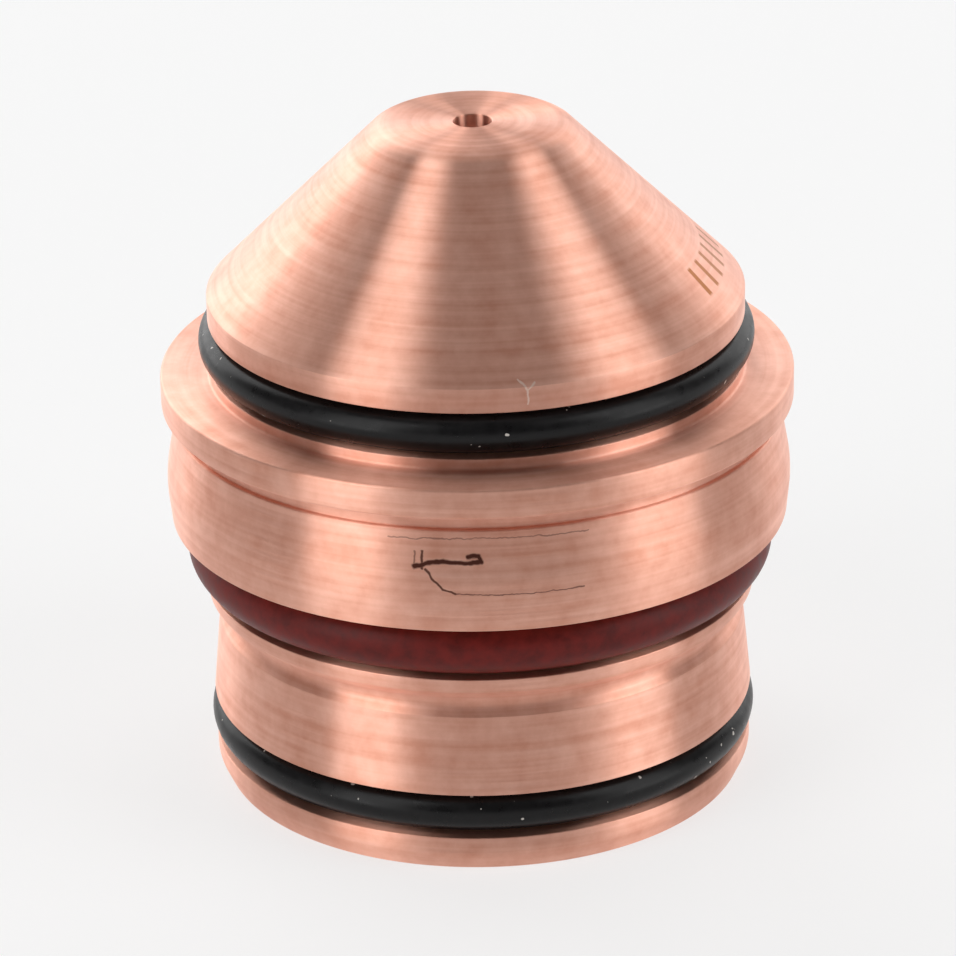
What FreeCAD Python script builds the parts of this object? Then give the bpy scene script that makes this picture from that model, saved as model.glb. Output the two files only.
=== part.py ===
import FreeCAD, Part
import math
import os

# Plasma torch nozzle: one turned copper body with three O-rings in its grooves.
# Millimetres. The origin is at the centre of the base, and +Z points to the tip.

# ---- Driving dimensions: overall height, and the heights stacked from the base ----
OVERALL_HEIGHT = 31.45
BASE_LAND_HEIGHT = 1.7
REAR_LAND_HEIGHT = 3.75
NECK_HEIGHT = 1.45
SEAT_LIP_HEIGHT = 0.7
SEAT_TAPER_HEIGHT = 1.95
SEAT_CROWN_HEIGHT = 2.8
RELIEF_WIDTH = 0.75
FLANGE_THICKNESS = 1.4
SHOULDER_HEIGHT = 0.5
FRONT_LAND_HEIGHT = 1.15

# ---- Driving dimensions: outside diameters ----
BASE_FACE_DIAMETER = 24.2
BASE_LAND_DIAMETER = 25.0
REAR_LAND_DIAMETER = 25.1
REAR_LAND_TOP_DIAMETER = 24.4
NECK_DIAMETER = 23.6
SEAT_LIP_BOTTOM_DIAMETER = 25.3
SEAT_LIP_TOP_DIAMETER = 25.6
SEAT_EDGE_DIAMETER = 28.4
SEAT_CROWN_DIAMETER = 28.8
SEAT_TOP_DIAMETER = 27.8
RELIEF_DIAMETER = 27.4
FLANGE_DIAMETER = 29.0
FRONT_LAND_DIAMETER = 24.5
TIP_DIAMETER = 8.6

# ---- Driving dimensions: inside ----
REAR_BORE_DIAMETER = 18.4
REAR_BORE_DEPTH = 12.0
CHAMBER_DIAMETER = 14.8
CHAMBER_DEPTH = 8.5
ORIFICE_DIAMETER = 1.75
ORIFICE_LENGTH = 3.6

# ---- Driving dimensions: O-rings and their grooves ----
SEAL_SECTION = 1.78
SEAT_SEAL_SECTION = 2.62
SEAL_SIDE_CLEARANCE = 0.185
SEAT_SEAL_SIDE_CLEARANCE = 0.215
FRONT_GROOVE_DIAMETER = 21.9
SEAT_GROOVE_DIAMETER = 21.9
REAR_GROOVE_DIAMETER = 21.9
SEAL_SEATING = 0.04

# ---- Driving dimensions: roundings and edge breaks ----
TIP_ROUNDING = 1.25
EDGE_BREAK = 0.12
BASE_EDGE_ROUNDING = 0.8
NECK_ROUNDING = 0.55
CROWN_ROUNDING = 5.0
BORE_EDGE_CHAMFER = 0.5
CHAMBER_ROUNDING = 1.0
ORIFICE_ENTRY_ROUNDING = 0.8

# ---- Heights above the base, worked out from the stack ----
seal_groove_width = SEAL_SECTION + 2 * SEAL_SIDE_CLEARANCE
seat_groove_width = SEAT_SEAL_SECTION + 2 * SEAT_SEAL_SIDE_CLEARANCE
rear_groove_bottom = BASE_LAND_HEIGHT
rear_groove_top = rear_groove_bottom + seal_groove_width
rear_land_top = rear_groove_top + REAR_LAND_HEIGHT
seat_lip_bottom = rear_land_top + NECK_HEIGHT
seat_groove_bottom = seat_lip_bottom + SEAT_LIP_HEIGHT
seat_groove_top = seat_groove_bottom + seat_groove_width
crown_bottom = seat_groove_top + SEAT_TAPER_HEIGHT
crown_top = crown_bottom + SEAT_CROWN_HEIGHT
flange_bottom = crown_top + RELIEF_WIDTH
flange_top = flange_bottom + FLANGE_THICKNESS
front_groove_bottom = flange_top + SHOULDER_HEIGHT
front_groove_top = front_groove_bottom + seal_groove_width
cone_base = front_groove_top + FRONT_LAND_HEIGHT

chamber_top = REAR_BORE_DEPTH + CHAMBER_DEPTH
orifice_entry = OVERALL_HEIGHT - ORIFICE_LENGTH


def vector(radius, height):
    """A point of the turned section, in the XZ plane."""
    return FreeCAD.Vector(radius, 0, height)


def rounded_corner(before, corner, after, radius):
    """Start, middle and end of the arc that rounds a corner between two straight runs."""
    to_before = (before - corner).normalize()
    to_after = (after - corner).normalize()
    half_angle = to_before.getAngle(to_after) / 2
    setback = radius / math.tan(half_angle)
    bisector = (to_before + to_after).normalize()
    centre = corner + bisector * (radius / math.sin(half_angle))
    return corner + to_before * setback, centre - bisector * radius, corner + to_after * setback


def section_face(corners):
    """Closed face from (radius, height, rounding) corners, in order round the section."""
    points = [vector(radius, height) for radius, height, _ in corners]
    edges = []
    runs = []
    for index, (_, _, rounding) in enumerate(corners):
        here = points[index]
        if rounding == 0:
            runs.append((here, here))
            continue
        following = points[(index + 1) % len(points)]
        start, middle, end = rounded_corner(points[index - 1], here, following, rounding)
        edges.append(Part.Arc(start, middle, end).toShape())
        runs.append((start, end))
    for index, (_, leaving) in enumerate(runs):
        arriving = runs[(index + 1) % len(runs)][0]
        edges.append(Part.makeLine(leaving, arriving))
    return Part.Face(Part.Wire(Part.__sortEdges__(edges)))


def turn(face):
    """Solid of revolution about the nozzle's axis."""
    return face.revolve(vector(0, 0), FreeCAD.Vector(0, 0, 1), 360)


def groove(floor_diameter, bottom, top, lower_edge_diameter, upper_edge_diameter):
    """Corners of an O-ring groove, from its lower edge to its upper edge."""
    floor = floor_diameter / 2
    return [
        (lower_edge_diameter / 2, bottom, 0),
        (floor, bottom, 0),
        (floor, top, 0),
        (upper_edge_diameter / 2, top, 0),
    ]


def base_outline():
    """Base face with its large outer rounding."""
    return [
        (REAR_BORE_DIAMETER / 2 + BORE_EDGE_CHAMFER, 0, 0),
        (BASE_FACE_DIAMETER / 2, 0, 0),
        (BASE_LAND_DIAMETER / 2, BASE_LAND_HEIGHT / 2, BASE_EDGE_ROUNDING),
    ]


def rear_outline():
    """Rear O-ring groove, the slightly tapered rear land and the neck above it."""
    rear_groove = groove(
        REAR_GROOVE_DIAMETER, rear_groove_bottom, rear_groove_top,
        BASE_LAND_DIAMETER, REAR_LAND_DIAMETER,
    )
    neck_middle = (rear_land_top + seat_lip_bottom) / 2
    return rear_groove + [
        (REAR_LAND_TOP_DIAMETER / 2, rear_land_top, 0),
        (NECK_DIAMETER / 2, neck_middle, NECK_ROUNDING),
    ]


def seat_outline():
    """Tapered seat that holds the middle O-ring, and the rounded crown above it."""
    seat_groove = groove(
        SEAT_GROOVE_DIAMETER, seat_groove_bottom, seat_groove_top,
        SEAT_LIP_TOP_DIAMETER, SEAT_EDGE_DIAMETER,
    )
    return [(SEAT_LIP_BOTTOM_DIAMETER / 2, seat_lip_bottom, 0)] + seat_groove + [
        (SEAT_CROWN_DIAMETER / 2, crown_bottom, CROWN_ROUNDING),
        (SEAT_TOP_DIAMETER / 2, crown_top, 0),
    ]


def flange_outline():
    """Relief under the flange, and the flange with its edges broken."""
    rim = FLANGE_DIAMETER / 2
    return [
        (RELIEF_DIAMETER / 2, crown_top, 0),
        (RELIEF_DIAMETER / 2, flange_bottom, 0),
        (rim - EDGE_BREAK, flange_bottom, 0),
        (rim, flange_bottom + EDGE_BREAK, 0),
        (rim, flange_top - EDGE_BREAK, 0),
        (rim - EDGE_BREAK, flange_top, 0),
    ]


def front_outline():
    """Shoulder on the flange, front O-ring groove, front land and cone."""
    front_groove = groove(
        FRONT_GROOVE_DIAMETER, front_groove_bottom, front_groove_top,
        FRONT_LAND_DIAMETER, FRONT_LAND_DIAMETER,
    )
    return [(FRONT_LAND_DIAMETER / 2, flange_top, 0)] + front_groove + [
        (FRONT_LAND_DIAMETER / 2, cone_base, 0),
        (TIP_DIAMETER / 2, OVERALL_HEIGHT, TIP_ROUNDING),
    ]


def bore_outline():
    """Orifice, converging chamber and rear bore, from the tip down to the base."""
    return [
        (ORIFICE_DIAMETER / 2, OVERALL_HEIGHT, 0),
        (ORIFICE_DIAMETER / 2, orifice_entry, ORIFICE_ENTRY_ROUNDING),
        (CHAMBER_DIAMETER / 2, chamber_top, CHAMBER_ROUNDING),
        (CHAMBER_DIAMETER / 2, REAR_BORE_DEPTH, 0),
        (REAR_BORE_DIAMETER / 2, REAR_BORE_DEPTH, 0),
        (REAR_BORE_DIAMETER / 2, BORE_EDGE_CHAMFER, 0),
    ]


def nozzle_body():
    """The copper body, turned from one section."""
    outline = base_outline() + rear_outline() + seat_outline() + flange_outline()
    return turn(section_face(outline + front_outline() + bore_outline()))


def o_ring(section, groove_diameter, groove_bottom, groove_top):
    """O-ring in the middle of its groove, a little flattened where it grips the floor."""
    floor = groove_diameter / 2
    middle = (groove_bottom + groove_top) / 2
    half_section = section / 2
    half_flat = math.sqrt(half_section ** 2 - (half_section - SEAL_SEATING) ** 2)
    lower = vector(floor, middle - half_flat)
    outermost = vector(floor + section - SEAL_SEATING, middle)
    upper = vector(floor, middle + half_flat)
    edges = [Part.Arc(lower, outermost, upper).toShape(), Part.makeLine(upper, lower)]
    return turn(Part.Face(Part.Wire(edges)))


def front_o_ring():
    return o_ring(SEAL_SECTION, FRONT_GROOVE_DIAMETER, front_groove_bottom, front_groove_top)


def middle_o_ring():
    return o_ring(SEAT_SEAL_SECTION, SEAT_GROOVE_DIAMETER, seat_groove_bottom, seat_groove_top)


def rear_o_ring():
    return o_ring(SEAL_SECTION, REAR_GROOVE_DIAMETER, rear_groove_bottom, rear_groove_top)


NODES = {
    "nozzle_body": nozzle_body,
    "front_o_ring": front_o_ring,
    "middle_o_ring": middle_o_ring,
    "rear_o_ring": rear_o_ring,
}

os.makedirs("parts", exist_ok=True)
for name, make in NODES.items():
    make().exportStep("parts/" + name + ".step")
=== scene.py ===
import math

import bmesh
import bpy
from mathutils import Matrix, Vector


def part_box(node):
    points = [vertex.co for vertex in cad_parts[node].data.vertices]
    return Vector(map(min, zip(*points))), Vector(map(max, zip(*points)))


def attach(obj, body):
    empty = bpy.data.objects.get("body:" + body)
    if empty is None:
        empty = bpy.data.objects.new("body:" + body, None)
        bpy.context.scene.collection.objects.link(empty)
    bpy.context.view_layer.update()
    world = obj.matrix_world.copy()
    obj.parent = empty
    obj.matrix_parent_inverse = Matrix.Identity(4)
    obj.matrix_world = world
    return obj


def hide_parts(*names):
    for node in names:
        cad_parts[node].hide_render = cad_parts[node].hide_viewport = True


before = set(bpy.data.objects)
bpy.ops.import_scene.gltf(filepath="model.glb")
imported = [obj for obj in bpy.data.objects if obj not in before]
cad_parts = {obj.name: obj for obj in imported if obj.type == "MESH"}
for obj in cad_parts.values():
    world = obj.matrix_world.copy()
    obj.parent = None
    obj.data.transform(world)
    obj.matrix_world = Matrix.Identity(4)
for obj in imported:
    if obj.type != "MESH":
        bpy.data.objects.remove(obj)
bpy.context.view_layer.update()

MM = 0.001

# ---- The nozzle's turned section: heights above the base, and diameters ----
_, BODY_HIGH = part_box("nozzle_body")
TIP_HEIGHT = BODY_HIGH.z
FLANGE_DIAMETER = 2 * min(BODY_HIGH.x, BODY_HIGH.y)
BASE_LAND_TOP = 1.7 * MM
REAR_LAND_BOTTOM = 3.85 * MM
REAR_LAND_TOP = 7.6 * MM
LIP_BOTTOM = 9.05 * MM
LIP_TOP = 9.75 * MM
SEAT_EDGE_HEIGHT = 12.8 * MM
CROWN_BOTTOM = 14.75 * MM
CROWN_TOP = 17.55 * MM
FLANGE_BOTTOM = 18.3 * MM
FLANGE_TOP = 19.7 * MM
SHOULDER_TOP = 20.2 * MM
FRONT_LAND_BOTTOM = 22.35 * MM
CONE_BASE = 23.5 * MM
ORIFICE_ENTRY = TIP_HEIGHT - 3.6 * MM
CHAMBER_TOP = 20.5 * MM
REAR_BORE_TOP = 12.0 * MM

BASE_FACE_DIAMETER = 24.2 * MM
BASE_LAND_DIAMETER = 25.0 * MM
REAR_LAND_DIAMETER = 25.1 * MM
REAR_LAND_TOP_DIAMETER = 24.4 * MM
NECK_DIAMETER = 23.6 * MM
LIP_BOTTOM_DIAMETER = 25.3 * MM
LIP_TOP_DIAMETER = 25.6 * MM
SEAT_EDGE_DIAMETER = 28.4 * MM
CROWN_DIAMETER = 28.8 * MM
SEAT_TOP_DIAMETER = 27.8 * MM
RELIEF_DIAMETER = 27.4 * MM
FRONT_LAND_DIAMETER = 24.5 * MM
TIP_DIAMETER = 8.6 * MM
GROOVE_DIAMETER = 21.9 * MM
REAR_BORE_DIAMETER = 18.4 * MM
CHAMBER_DIAMETER = 14.8 * MM
ORIFICE_DIAMETER = 1.75 * MM
BORE_CHAMFER = 0.5 * MM

# ---- Roundings ----
SHARP_EDGE = 0.05 * MM
EDGE_BREAK = 0.12 * MM
GROOVE_ROOT = 0.2 * MM
BASE_EDGE = 0.1 * MM
BASE_ROUNDING = 0.8 * MM
NECK_ROUNDING = 0.55 * MM
CROWN_ROUNDING = 5.0 * MM
TIP_ROUNDING = 1.25 * MM
ORIFICE_ENTRY_ROUNDING = 0.8 * MM
CHAMBER_ROUNDING = 1.0 * MM
TURN_STEPS = 360
RING_SEGMENTS = 48
MERGE_DISTANCE = 1e-7

# ---- Camera: aimed at the seat's crown, a little below the flange ----
VIEW_AIM = Vector((-0.05 * MM, 0, 13.9 * MM))
VIEW_ELEVATION = math.radians(23.84)
VIEW_ROLL = math.radians(-1.08)
VIEW_DISTANCE = 243.9 * MM
VIEW_LENS = 198.7

# ---- Studio: the room, floor and walls, and the softboxes ----
ROOM_LEVEL = 0.12
SHADOWLESS_SHARE = 0.68
FLOOR_RADIUS = 1.2
FLOOR_DROP = 0.01 * MM
BACKDROP_EDGE = 122
BACKDROP_DISTANCE = 0.9
BACKDROP_HEIGHT = 0.9
LOW_WALL_HEIGHT = 0.16
WALL_STEPS = 48
LAMP_TARGET = Vector((0, 0, 0.015))
# Each has its azimuth, elevation, distance, width, height and radiance.
SOFTBOXES = {
    "left_softbox": (-50, 30, 0.55, 0.28, 0.62, 2.5),
    "right_softbox": (69, 30, 0.55, 0.30, 0.62, 2.2),
    "back_left_softbox": (-148, 30, 0.55, 0.52, 0.6, 1.5),
    "back_right_softbox": (145, 30, 0.55, 0.40, 0.6, 0.8),
    "top_softbox": (180, 80, 0.6, 0.3, 0.3, 1.2),
}

# ---- Marks on the copper: runs of (way round from the front, height) in mm ----
MAIN_STROKE = [(-3.0, 15.87), (-2.0, 16.14), (-0.69, 16.1), (0.01, 16.16), (-0.11, 16.42), (-0.55, 16.39)]
MAIN_STROKE_WIDTH = 0.19
# Each has its run, its width in mm and how dark it is.
FINER_STROKES = [
    ([(-2.99, 16.56), (-3.0, 15.89)], 0.08, 0.6),
    ([(-2.63, 16.59), (-2.6, 15.82)], 0.12, 0.9),
    ([(-2.45, 15.76), (-2.15, 15.34), (-1.63, 14.88), (-1.15, 14.7)], 0.1, 0.9),
    ([(-1.15, 14.7), (1.5, 14.62), (4.6, 14.65)], 0.05, 0.7),
    ([(-4.2, 17.1), (0.0, 17.2), (5.0, 17.12)], 0.05, 0.5),
]
COLLAR_FORK = [(1.81, 23.75), (2.2, 23.35), (2.56, 23.6)]
COLLAR_STEM = [(2.2, 23.35), (2.19, 22.69)]
COLLAR_SCRATCH_WIDTH = 0.07
SHAKE_SIZE = 0.22
BARS_START = math.radians(66)
BAR_PITCH = math.radians(6)
BAR_COUNT = 6
BAR_MIDDLE = 25.0 * MM
BAR_HALF_HEIGHT = 0.50 * MM
BAR_FADE = 0.08 * MM

# ---- Finish: tool marks, as cycles per metre across and along the axis ----
FINE_LINES_ROUND = 160
FINE_LINES_ALONG = 14000
BROAD_LINES_ROUND = 70
BROAD_LINES_ALONG = 2600
CONE_LEAN = -0.8
COPPER_MOTTLING = 900
RUBBER_MOTTLING = 1500
RUBBER_GRAIN = 6000
DUST_SPACING = 2400
TOOL_MARK_DEPTH = 0.01 * MM

# ---- Colours ----
COPPER = (0.90, 0.50, 0.385, 1)
COPPER_DULL = (0.73, 0.34, 0.24, 1)
GROUND_COPPER = (0.97, 0.70, 0.60, 1)
ETCHED_COPPER = (0.42, 0.15, 0.045, 1)
SCRATCH_BROWN = (0.10, 0.035, 0.025, 1)
BLACK_RUBBER = (0.006, 0.0055, 0.006, 1)
RED_RUBBER = (0.15, 0.010, 0.007, 1)
DUST = (0.55, 0.52, 0.48, 1)


# ---------------------------------------------------------------- pieces

def object_from(name, mesh_builder):
    """A shown object at the origin whose mesh is the finished bmesh."""
    mesh = bpy.data.meshes.new(name)
    mesh_builder.to_mesh(mesh)
    mesh_builder.free()
    mesh.shade_smooth()
    piece = bpy.data.objects.new(name, mesh)
    bpy.context.scene.collection.objects.link(piece)
    return piece


def corner_setback(before, corner, after, radius):
    """How far from the corner an arc of this radius meets the two straight runs."""
    half_angle = (before - corner).angle(after - corner) / 2
    return radius / math.tan(half_angle)


def turned(name, corners):
    """A closed section of (radius, height, rounding, segments) corners, turned about Z."""
    builder = bmesh.new()
    points = [Vector((radius, 0, height)) for radius, height, _, _ in corners]
    verts = [builder.verts.new(point) for point in points]
    for index, vert in enumerate(verts):
        builder.edges.new((vert, verts[(index + 1) % len(verts)]))
    for index, (_, _, rounding, segments) in enumerate(corners):
        if rounding:
            following = points[(index + 1) % len(points)]
            setback = corner_setback(points[index - 1], points[index], following, rounding)
            bmesh.ops.bevel(
                builder, geom=[verts[index]], offset=setback, offset_type="OFFSET",
                segments=segments, profile=0.5, affect="VERTICES", material=-1,
            )
    turn_section(builder)
    return object_from(name, builder)


def turn_section(builder):
    """Turns the wire in the bmesh a full circle about Z, with its faces outwards."""
    bmesh.ops.spin(
        builder, geom=builder.verts[:] + builder.edges[:], cent=(0, 0, 0), axis=(0, 0, 1),
        angle=2 * math.pi, steps=TURN_STEPS, use_merge=True,
    )
    bmesh.ops.remove_doubles(builder, verts=builder.verts, dist=MERGE_DISTANCE)
    bmesh.ops.recalc_face_normals(builder, faces=builder.faces)


def groove(bottom, top, lower_diameter, upper_diameter):
    """Corners of an O-ring groove with finely broken edges and rounded roots."""
    floor = GROOVE_DIAMETER / 2
    return [
        (lower_diameter / 2, bottom, SHARP_EDGE, 3),
        (floor, bottom, GROOVE_ROOT, 5),
        (floor, top, GROOVE_ROOT, 5),
        (upper_diameter / 2, top, SHARP_EDGE, 3),
    ]


def copper_body():
    """The turned copper body, from the base outwards and up, then down the bore."""
    neck_middle = (REAR_LAND_TOP + LIP_BOTTOM) / 2
    corners = [
        (REAR_BORE_DIAMETER / 2 + BORE_CHAMFER, 0, 0, 0),
        (BASE_FACE_DIAMETER / 2, 0, BASE_EDGE, 4),
        (BASE_LAND_DIAMETER / 2, BASE_LAND_TOP / 2, BASE_ROUNDING, 10),
    ]
    corners += groove(BASE_LAND_TOP, REAR_LAND_BOTTOM, BASE_LAND_DIAMETER, REAR_LAND_DIAMETER)
    corners += [
        (REAR_LAND_TOP_DIAMETER / 2, REAR_LAND_TOP, EDGE_BREAK, 4),
        (NECK_DIAMETER / 2, neck_middle, NECK_ROUNDING, 12),
        (LIP_BOTTOM_DIAMETER / 2, LIP_BOTTOM, SHARP_EDGE, 3),
    ]
    corners += groove(LIP_TOP, SEAT_EDGE_HEIGHT, LIP_TOP_DIAMETER, SEAT_EDGE_DIAMETER)
    corners += [
        (CROWN_DIAMETER / 2, CROWN_BOTTOM, CROWN_ROUNDING, 14),
        (SEAT_TOP_DIAMETER / 2, CROWN_TOP, EDGE_BREAK, 4),
        (RELIEF_DIAMETER / 2, CROWN_TOP, SHARP_EDGE, 3),
        (RELIEF_DIAMETER / 2, FLANGE_BOTTOM, EDGE_BREAK, 4),
        (FLANGE_DIAMETER / 2, FLANGE_BOTTOM, EDGE_BREAK, 4),
        (FLANGE_DIAMETER / 2, FLANGE_TOP, EDGE_BREAK, 4),
        (FRONT_LAND_DIAMETER / 2, FLANGE_TOP, EDGE_BREAK, 4),
    ]
    corners += groove(SHOULDER_TOP, FRONT_LAND_BOTTOM, FRONT_LAND_DIAMETER, FRONT_LAND_DIAMETER)
    corners += [
        (FRONT_LAND_DIAMETER / 2, CONE_BASE, SHARP_EDGE, 3),
        (TIP_DIAMETER / 2, TIP_HEIGHT, TIP_ROUNDING, 20),
        (ORIFICE_DIAMETER / 2, TIP_HEIGHT, SHARP_EDGE, 4),
        (ORIFICE_DIAMETER / 2, ORIFICE_ENTRY, ORIFICE_ENTRY_ROUNDING, 10),
        (CHAMBER_DIAMETER / 2, CHAMBER_TOP, CHAMBER_ROUNDING, 10),
        (CHAMBER_DIAMETER / 2, REAR_BORE_TOP, SHARP_EDGE, 3),
        (REAR_BORE_DIAMETER / 2, REAR_BORE_TOP, SHARP_EDGE, 3),
        (REAR_BORE_DIAMETER / 2, BORE_CHAMFER, SHARP_EDGE, 3),
    ]
    body = turned("copper_body", corners)
    weighted = body.modifiers.new("even_faces", "WEIGHTED_NORMAL")
    weighted.weight = 100
    return body


def rubber_ring(name, node):
    """A moulded O-ring as large as its solid."""
    low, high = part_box(node)
    section = (high.z - low.z) / 2
    builder = bmesh.new()
    bmesh.ops.create_circle(builder, segments=RING_SEGMENTS, radius=section)
    upright = Matrix.Rotation(math.pi / 2, 4, "X")
    place = Matrix.Translation((high.x - section, 0, (low.z + high.z) / 2))
    bmesh.ops.transform(builder, matrix=place @ upright, verts=builder.verts)
    turn_section(builder)
    return object_from(name, builder)


# ---------------------------------------------------------------- materials

class Nodes:
    """A short way to write a material's nodes."""

    def __init__(self, name):
        self.material = bpy.data.materials.new(name)
        self.material.use_nodes = True
        self.tree = self.material.node_tree
        self.shader = self.tree.nodes["Principled BSDF"]

    def add(self, kind, inputs=(), **settings):
        """A node with its settings, and its inputs set to numbers or linked to sockets."""
        node = self.tree.nodes.new(kind)
        for setting, value in settings.items():
            setattr(node, setting, value)
        for key, value in dict(inputs).items():
            self.set(node.inputs[key], value)
        return node

    def set(self, socket, value):
        """Links a socket to another, or gives it a number or colour."""
        if isinstance(value, bpy.types.NodeSocket):
            self.tree.links.new(value, socket)
        else:
            socket.default_value = value

    def math(self, operation, first, second=0.0, third=0.0):
        """A math node's result."""
        inputs = {0: first, 1: second, 2: third}
        return self.add("ShaderNodeMath", inputs, operation=operation).outputs[0]

    def vector(self, operation, first, second=(0, 0, 0), output=0):
        """A vector math node's result, or its number with output=1."""
        node = self.add("ShaderNodeVectorMath", {0: first, 1: second}, operation=operation)
        return node.outputs[output]

    def noise(self, coordinates, scale, detail=2.0, roughness=0.5):
        """A grey noise."""
        inputs = {"Vector": coordinates, "Scale": scale, "Detail": detail, "Roughness": roughness}
        return self.add("ShaderNodeTexNoise", inputs).outputs["Fac"]

    def remap(self, value, low, high, to_low=0.0, to_high=1.0):
        """A value taken from one range to another, and held there."""
        inputs = {"Value": value, "From Min": low, "From Max": high}
        inputs.update({"To Min": to_low, "To Max": to_high})
        return self.add("ShaderNodeMapRange", inputs, clamp=True).outputs["Result"]

    def blend(self, factor, first, second):
        """Two colours mixed by a factor."""
        node = self.add("ShaderNodeMix", {0: factor, 6: first, 7: second}, data_type="RGBA")
        return node.outputs[2]


def stroke(n, point, places, width):
    """1 along a run of (round, height) places in mm on the unrolled copper, and 0 off it."""
    nearest = None
    for start, end in zip(places, places[1:]):
        run = Vector((end[0] - start[0], end[1] - start[1], 0))
        offset = n.vector("SUBTRACT", point, (start[0], start[1], 0))
        ahead = n.vector("DOT_PRODUCT", offset, run, output=1)
        share = n.add(
            "ShaderNodeMath", {0: ahead, 1: run.length_squared}, operation="DIVIDE", use_clamp=True,
        ).outputs[0]
        apart = n.vector("SUBTRACT", offset, n.vector("MULTIPLY", share, tuple(run)))
        distance = n.vector("LENGTH", apart, output=1)
        nearest = n.math("MINIMUM", nearest, distance) if nearest else distance
    return n.remap(nearest, width * 0.35, width * 0.75, 1.0, 0.0)


def unrolled(n, place, diameter):
    """A slightly shaken (way round at this diameter, height) in mm, and the plain angle round."""
    x, y, z = n.add("ShaderNodeSeparateXYZ", {0: place}).outputs
    round_angle = n.math("ARCTAN2", x, n.math("MULTIPLY", y, -1))
    flat = n.add("ShaderNodeCombineXYZ", {
        0: n.math("MULTIPLY", round_angle, diameter / 2 / MM), 1: n.math("DIVIDE", z, MM),
    }).outputs[0]
    wander = n.add("ShaderNodeTexNoise", {"Vector": flat, "Scale": 2.2, "Detail": 2.0}).outputs["Color"]
    centred = n.vector("SUBTRACT", wander, (0.5, 0.5, 0.5))
    shake = n.vector("MULTIPLY", centred, (SHAKE_SIZE, SHAKE_SIZE, 0))
    return n.vector("ADD", flat, shake), round_angle


def workshop_marks(n, place):
    """Dark scriber strokes on the seat, and light scratches on the collar above the front ring."""
    seat, round_angle = unrolled(n, place, CROWN_DIAMETER)
    dark = stroke(n, seat, MAIN_STROKE, MAIN_STROKE_WIDTH)
    for places, width, darkness in FINER_STROKES:
        run = n.math("MULTIPLY", stroke(n, seat, places, width), darkness)
        dark = n.math("MAXIMUM", dark, run)
    collar, _ = unrolled(n, place, FRONT_LAND_DIAMETER)
    light = stroke(n, collar, COLLAR_FORK, COLLAR_SCRATCH_WIDTH)
    light = n.math("MAXIMUM", light, stroke(n, collar, COLLAR_STEM, COLLAR_SCRATCH_WIDTH))
    return dark, light, round_angle


def etched_bars(n, place, round_angle):
    """A short row of plain etched bars on the right of the cone, in place of lettering."""
    height = n.add("ShaderNodeSeparateXYZ", {0: place}).outputs[2]
    step = n.math("DIVIDE", n.math("SUBTRACT", round_angle, BARS_START), BAR_PITCH)
    along = n.math("FRACT", step)
    off_middle = n.math("ABSOLUTE", n.math("SUBTRACT", along, 0.5))
    bars = n.remap(off_middle, 0.12, 0.17, 1.0, 0.0)
    inside = n.math("MULTIPLY", n.math("GREATER_THAN", step, 0), n.math("LESS_THAN", step, BAR_COUNT))
    above_middle = n.math("ABSOLUTE", n.math("SUBTRACT", height, BAR_MIDDLE))
    tall = n.remap(above_middle, BAR_HALF_HEIGHT, BAR_HALF_HEIGHT + BAR_FADE, 1.0, 0.0)
    return n.math("MULTIPLY", bars, n.math("MULTIPLY", inside, tall))


def tool_marks(n, x, y, along, round_scale, along_scale):
    """Coordinates that stretch a noise into lines round the axis."""
    return n.add("ShaderNodeCombineXYZ", {
        0: n.math("MULTIPLY", x, round_scale),
        1: n.math("MULTIPLY", y, round_scale),
        2: n.math("MULTIPLY", along, along_scale),
    }).outputs[0]


def copper_finish():
    """Fine-turned bare copper: rings of tool marks round the axis, and a slight mottling."""
    n = Nodes("turned_copper")
    place = n.add("ShaderNodeTexCoord").outputs["Object"]
    x, y, z = n.add("ShaderNodeSeparateXYZ", {0: place}).outputs
    radius = n.math("SQRT", n.math("ADD", n.math("MULTIPLY", x, x), n.math("MULTIPLY", y, y)))
    along = n.math("MULTIPLY_ADD", radius, CONE_LEAN, z)
    fine = tool_marks(n, x, y, along, FINE_LINES_ROUND, FINE_LINES_ALONG)
    broad = tool_marks(n, x, y, along, BROAD_LINES_ROUND, BROAD_LINES_ALONG)
    fine_lines = n.noise(fine, 1.0, 3.0, 0.6)
    broad_lines = n.noise(broad, 1.0, 2.0, 0.5)
    mottling = n.noise(place, COPPER_MOTTLING, 4.0, 0.6)
    mixture = n.math("MULTIPLY_ADD", broad_lines, 0.5, n.math("MULTIPLY", mottling, 0.5))
    tone = n.remap(mixture, 0.35, 0.65)
    dark, light, round_angle = workshop_marks(n, place)
    colour = n.blend(tone, COPPER_DULL, COPPER)
    colour = n.blend(light, colour, GROUND_COPPER)
    colour = n.blend(etched_bars(n, place, round_angle), colour, ETCHED_COPPER)
    colour = n.blend(dark, colour, SCRATCH_BROWN)
    n.set(n.shader.inputs["Base Color"], colour)
    n.set(n.shader.inputs["Metallic"], 1.0)
    n.set(n.shader.inputs["Roughness"], n.remap(fine_lines, 0.3, 0.7, 0.36, 0.44))
    n.set(n.shader.inputs["Anisotropic"], 1.0)
    n.set(n.shader.inputs["Anisotropic Rotation"], 0.25)
    round_axis = n.add("ShaderNodeCombineXYZ", {0: n.math("MULTIPLY", y, -1), 1: x}).outputs[0]
    n.set(n.shader.inputs["Tangent"], n.add(
        "ShaderNodeVectorTransform", {0: round_axis}, vector_type="VECTOR",
        convert_from="OBJECT", convert_to="WORLD",
    ).outputs[0])
    height = n.math("MULTIPLY_ADD", fine_lines, 0.6, n.math("MULTIPLY", broad_lines, 0.4))
    bump = n.add("ShaderNodeBump", {"Strength": 0.35, "Distance": TOOL_MARK_DEPTH, "Height": height})
    n.set(n.shader.inputs["Normal"], bump.outputs[0])
    return n.material


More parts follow.
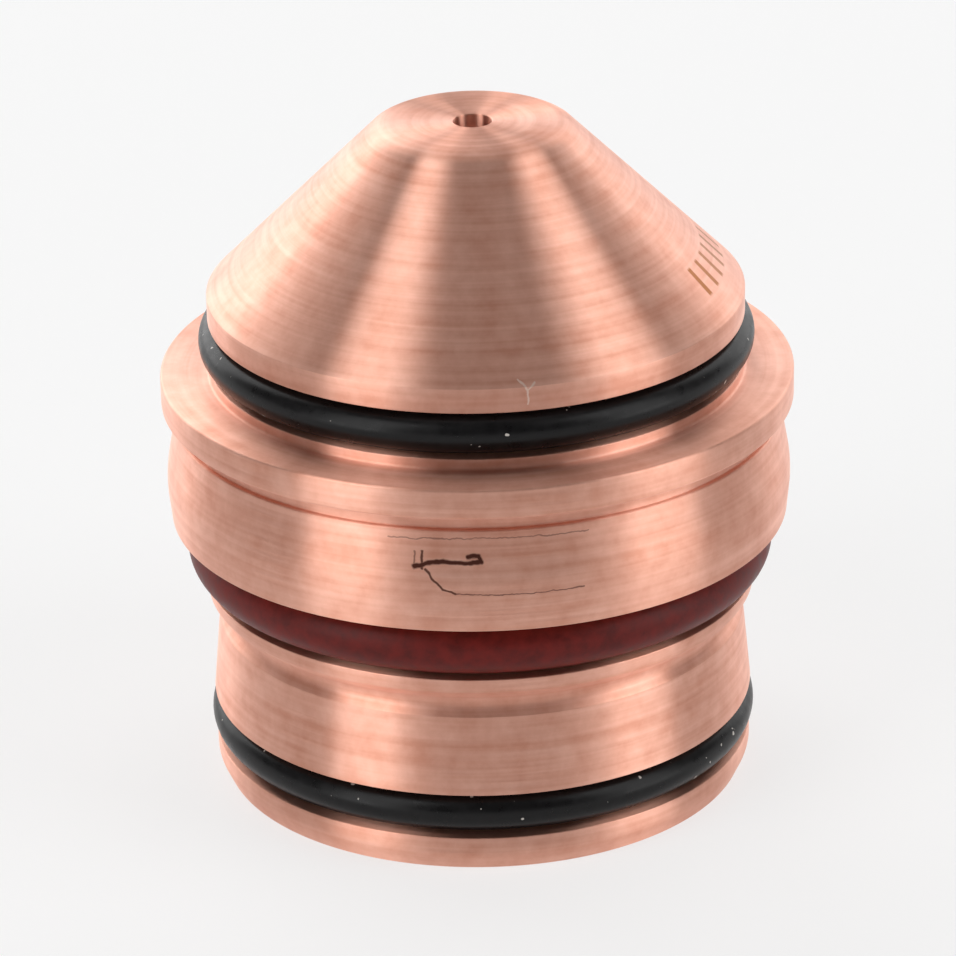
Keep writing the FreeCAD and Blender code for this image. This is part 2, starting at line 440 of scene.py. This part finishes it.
def rubber_finish(name, colour, roughness, dust):
    """Moulded rubber with a soft sheen, faint mottling and specks of dust, fewer the higher dust is."""
    n = Nodes(name)
    place = n.add("ShaderNodeTexCoord").outputs["Object"]
    mottling = n.noise(place, RUBBER_MOTTLING, 3.0, 0.6)
    shade = tuple(channel * 0.6 for channel in colour[:3]) + (1,)
    tint = n.blend(n.remap(mottling, 0.35, 0.65), shade, colour)
    specks = n.noise(place, DUST_SPACING, 1.0, 0.5)
    speck = n.remap(specks, dust, dust + 0.02)
    n.set(n.shader.inputs["Base Color"], n.blend(speck, tint, DUST))
    satin = n.remap(mottling, 0.3, 0.7, roughness - 0.05, roughness + 0.08)
    n.set(n.shader.inputs["Roughness"], satin)
    n.set(n.shader.inputs["Specular IOR Level"], 0.22)
    grain = n.noise(place, RUBBER_GRAIN, 3.0)
    bump = n.add("ShaderNodeBump", {"Strength": 0.2, "Distance": TOOL_MARK_DEPTH, "Height": grain})
    n.set(n.shader.inputs["Normal"], bump.outputs[0])
    return n.material


# ---------------------------------------------------------------- studio

def view_axes():
    """Right, up and backward directions of the camera, with its slight roll."""
    backward = Vector((0, -math.cos(VIEW_ELEVATION), math.sin(VIEW_ELEVATION)))
    right = Vector((1, 0, 0))
    up = backward.cross(right)
    turned_right = right * math.cos(VIEW_ROLL) + up * math.sin(VIEW_ROLL)
    turned_up = up * math.cos(VIEW_ROLL) - right * math.sin(VIEW_ROLL)
    return turned_right, turned_up, backward


def camera():
    """The viewer's camera, with no shift and no depth of field."""
    data = bpy.data.cameras.new("camera")
    data.lens = VIEW_LENS
    data.sensor_width = 36
    data.clip_start = 0.01
    data.clip_end = 10
    right, up, backward = view_axes()
    turn = Matrix((right, up, backward)).transposed().to_4x4()
    eye = bpy.data.objects.new("camera", data)
    eye.matrix_world = Matrix.Translation(VIEW_AIM + backward * VIEW_DISTANCE) @ turn
    bpy.context.scene.collection.objects.link(eye)
    bpy.context.scene.camera = eye


def aimed(position):
    """A matrix at the position whose -Z looks at the nozzle."""
    turn = (position - LAMP_TARGET).to_track_quat("Z", "Y").to_matrix().to_4x4()
    return Matrix.Translation(position) @ turn


def place_round(azimuth, elevation, distance):
    """A place round the nozzle. Azimuth 0 is on the viewer's side and 90 to its right."""
    a = math.radians(azimuth)
    e = math.radians(elevation)
    return Vector((math.sin(a) * math.cos(e), -math.cos(a) * math.cos(e), math.sin(e))) * distance


def softbox(name, azimuth, elevation, distance, width, height, radiance):
    """A plain rectangular lamp, out of the camera's sight."""
    data = bpy.data.lights.new(name, "AREA")
    data.shape = "RECTANGLE"
    data.size = width
    data.size_y = height
    data.energy = radiance * math.pi * width * height
    lamp = bpy.data.objects.new(name, data)
    lamp.matrix_world = aimed(place_round(azimuth, elevation, distance))
    lamp.visible_camera = False
    bpy.context.scene.collection.objects.link(lamp)


def seen_directly(tree):
    """1 for what the camera, metal or glass sees, and 0 for light that only falls on things."""
    path = tree.nodes.new("ShaderNodeLightPath").outputs
    seen = path["Is Camera Ray"]
    for other in ("Is Glossy Ray", "Is Transmission Ray"):
        either = tree.nodes.new("ShaderNodeMath")
        either.operation = "MAXIMUM"
        tree.links.new(seen, either.inputs[0])
        tree.links.new(path[other], either.inputs[1])
        seen = either.outputs[0]
    return seen


def studio_world():
    """A room at one plain level of grey."""
    world = bpy.data.worlds.new("studio")
    world.use_nodes = True
    room = world.node_tree.nodes["Background"]
    room.inputs["Color"].default_value = (1, 1, 1, 1)
    room.inputs["Strength"].default_value = ROOM_LEVEL
    bpy.context.scene.world = world


def white_surface(name):
    """Matt white that looks white wherever it is seen, and still takes a shadow."""
    n = Nodes(name)
    n.set(n.shader.inputs["Base Color"], (0.9, 0.9, 0.9, 1))
    n.set(n.shader.inputs["Roughness"], 0.9)
    n.set(n.shader.inputs["Specular IOR Level"], 0.0)
    white = n.add("ShaderNodeEmission", {"Color": (1, 1, 1, 1), "Strength": 1.0}).outputs[0]
    share = n.math("MULTIPLY", seen_directly(n.tree), SHADOWLESS_SHARE)
    mixed = n.add("ShaderNodeMixShader", {0: share, 1: n.shader.outputs[0], 2: white}).outputs[0]
    n.set(n.tree.nodes["Material Output"].inputs[0], mixed)
    return n.material


def pale_floor():
    """A plain white floor that keeps the nozzle's shadow."""
    builder = bmesh.new()
    bmesh.ops.create_circle(builder, cap_ends=True, segments=64, radius=FLOOR_RADIUS)
    bmesh.ops.translate(builder, vec=(0, 0, -FLOOR_DROP), verts=builder.verts)
    floor = object_from("floor", builder)
    floor.data.materials.append(white_surface("white_floor"))


def white_wall(name, first_azimuth, sweep, height):
    """A plain white wall, bent round the nozzle from one azimuth through a sweep."""
    builder = bmesh.new()
    start = place_round(first_azimuth, 0, BACKDROP_DISTANCE)
    foot = builder.verts.new(start)
    head = builder.verts.new(start + Vector((0, 0, height)))
    builder.edges.new((foot, head))
    bmesh.ops.spin(
        builder, geom=builder.verts[:] + builder.edges[:], cent=(0, 0, 0), axis=(0, 0, 1),
        angle=math.radians(sweep), steps=WALL_STEPS,
    )
    wall = object_from(name, builder)
    wall.data.materials.append(white_surface(name))


# ---------------------------------------------------------------- making

def dress(piece, node, finish):
    """Puts a finished piece in the place of its solid."""
    piece.data.materials.append(finish)
    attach(piece, "root")
    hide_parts(node)


camera()
dress(copper_body(), "nozzle_body", copper_finish())
black = rubber_finish("black_rubber", BLACK_RUBBER, 0.30, 0.76)
red = rubber_finish("red_rubber", RED_RUBBER, 0.42, 0.95)
dress(rubber_ring("front_ring", "front_o_ring"), "front_o_ring", black)
dress(rubber_ring("middle_ring", "middle_o_ring"), "middle_o_ring", red)
dress(rubber_ring("rear_ring", "rear_o_ring"), "rear_o_ring", black)

studio_world()
pale_floor()
white_wall("backdrop", BACKDROP_EDGE, 360 - 2 * BACKDROP_EDGE, BACKDROP_HEIGHT)
white_wall("low_wall", -BACKDROP_EDGE, 2 * BACKDROP_EDGE, LOW_WALL_HEIGHT)
for softbox_name, setting in SOFTBOXES.items():
    softbox(softbox_name, *setting)

bpy.context.scene.view_settings.view_transform = "Standard"
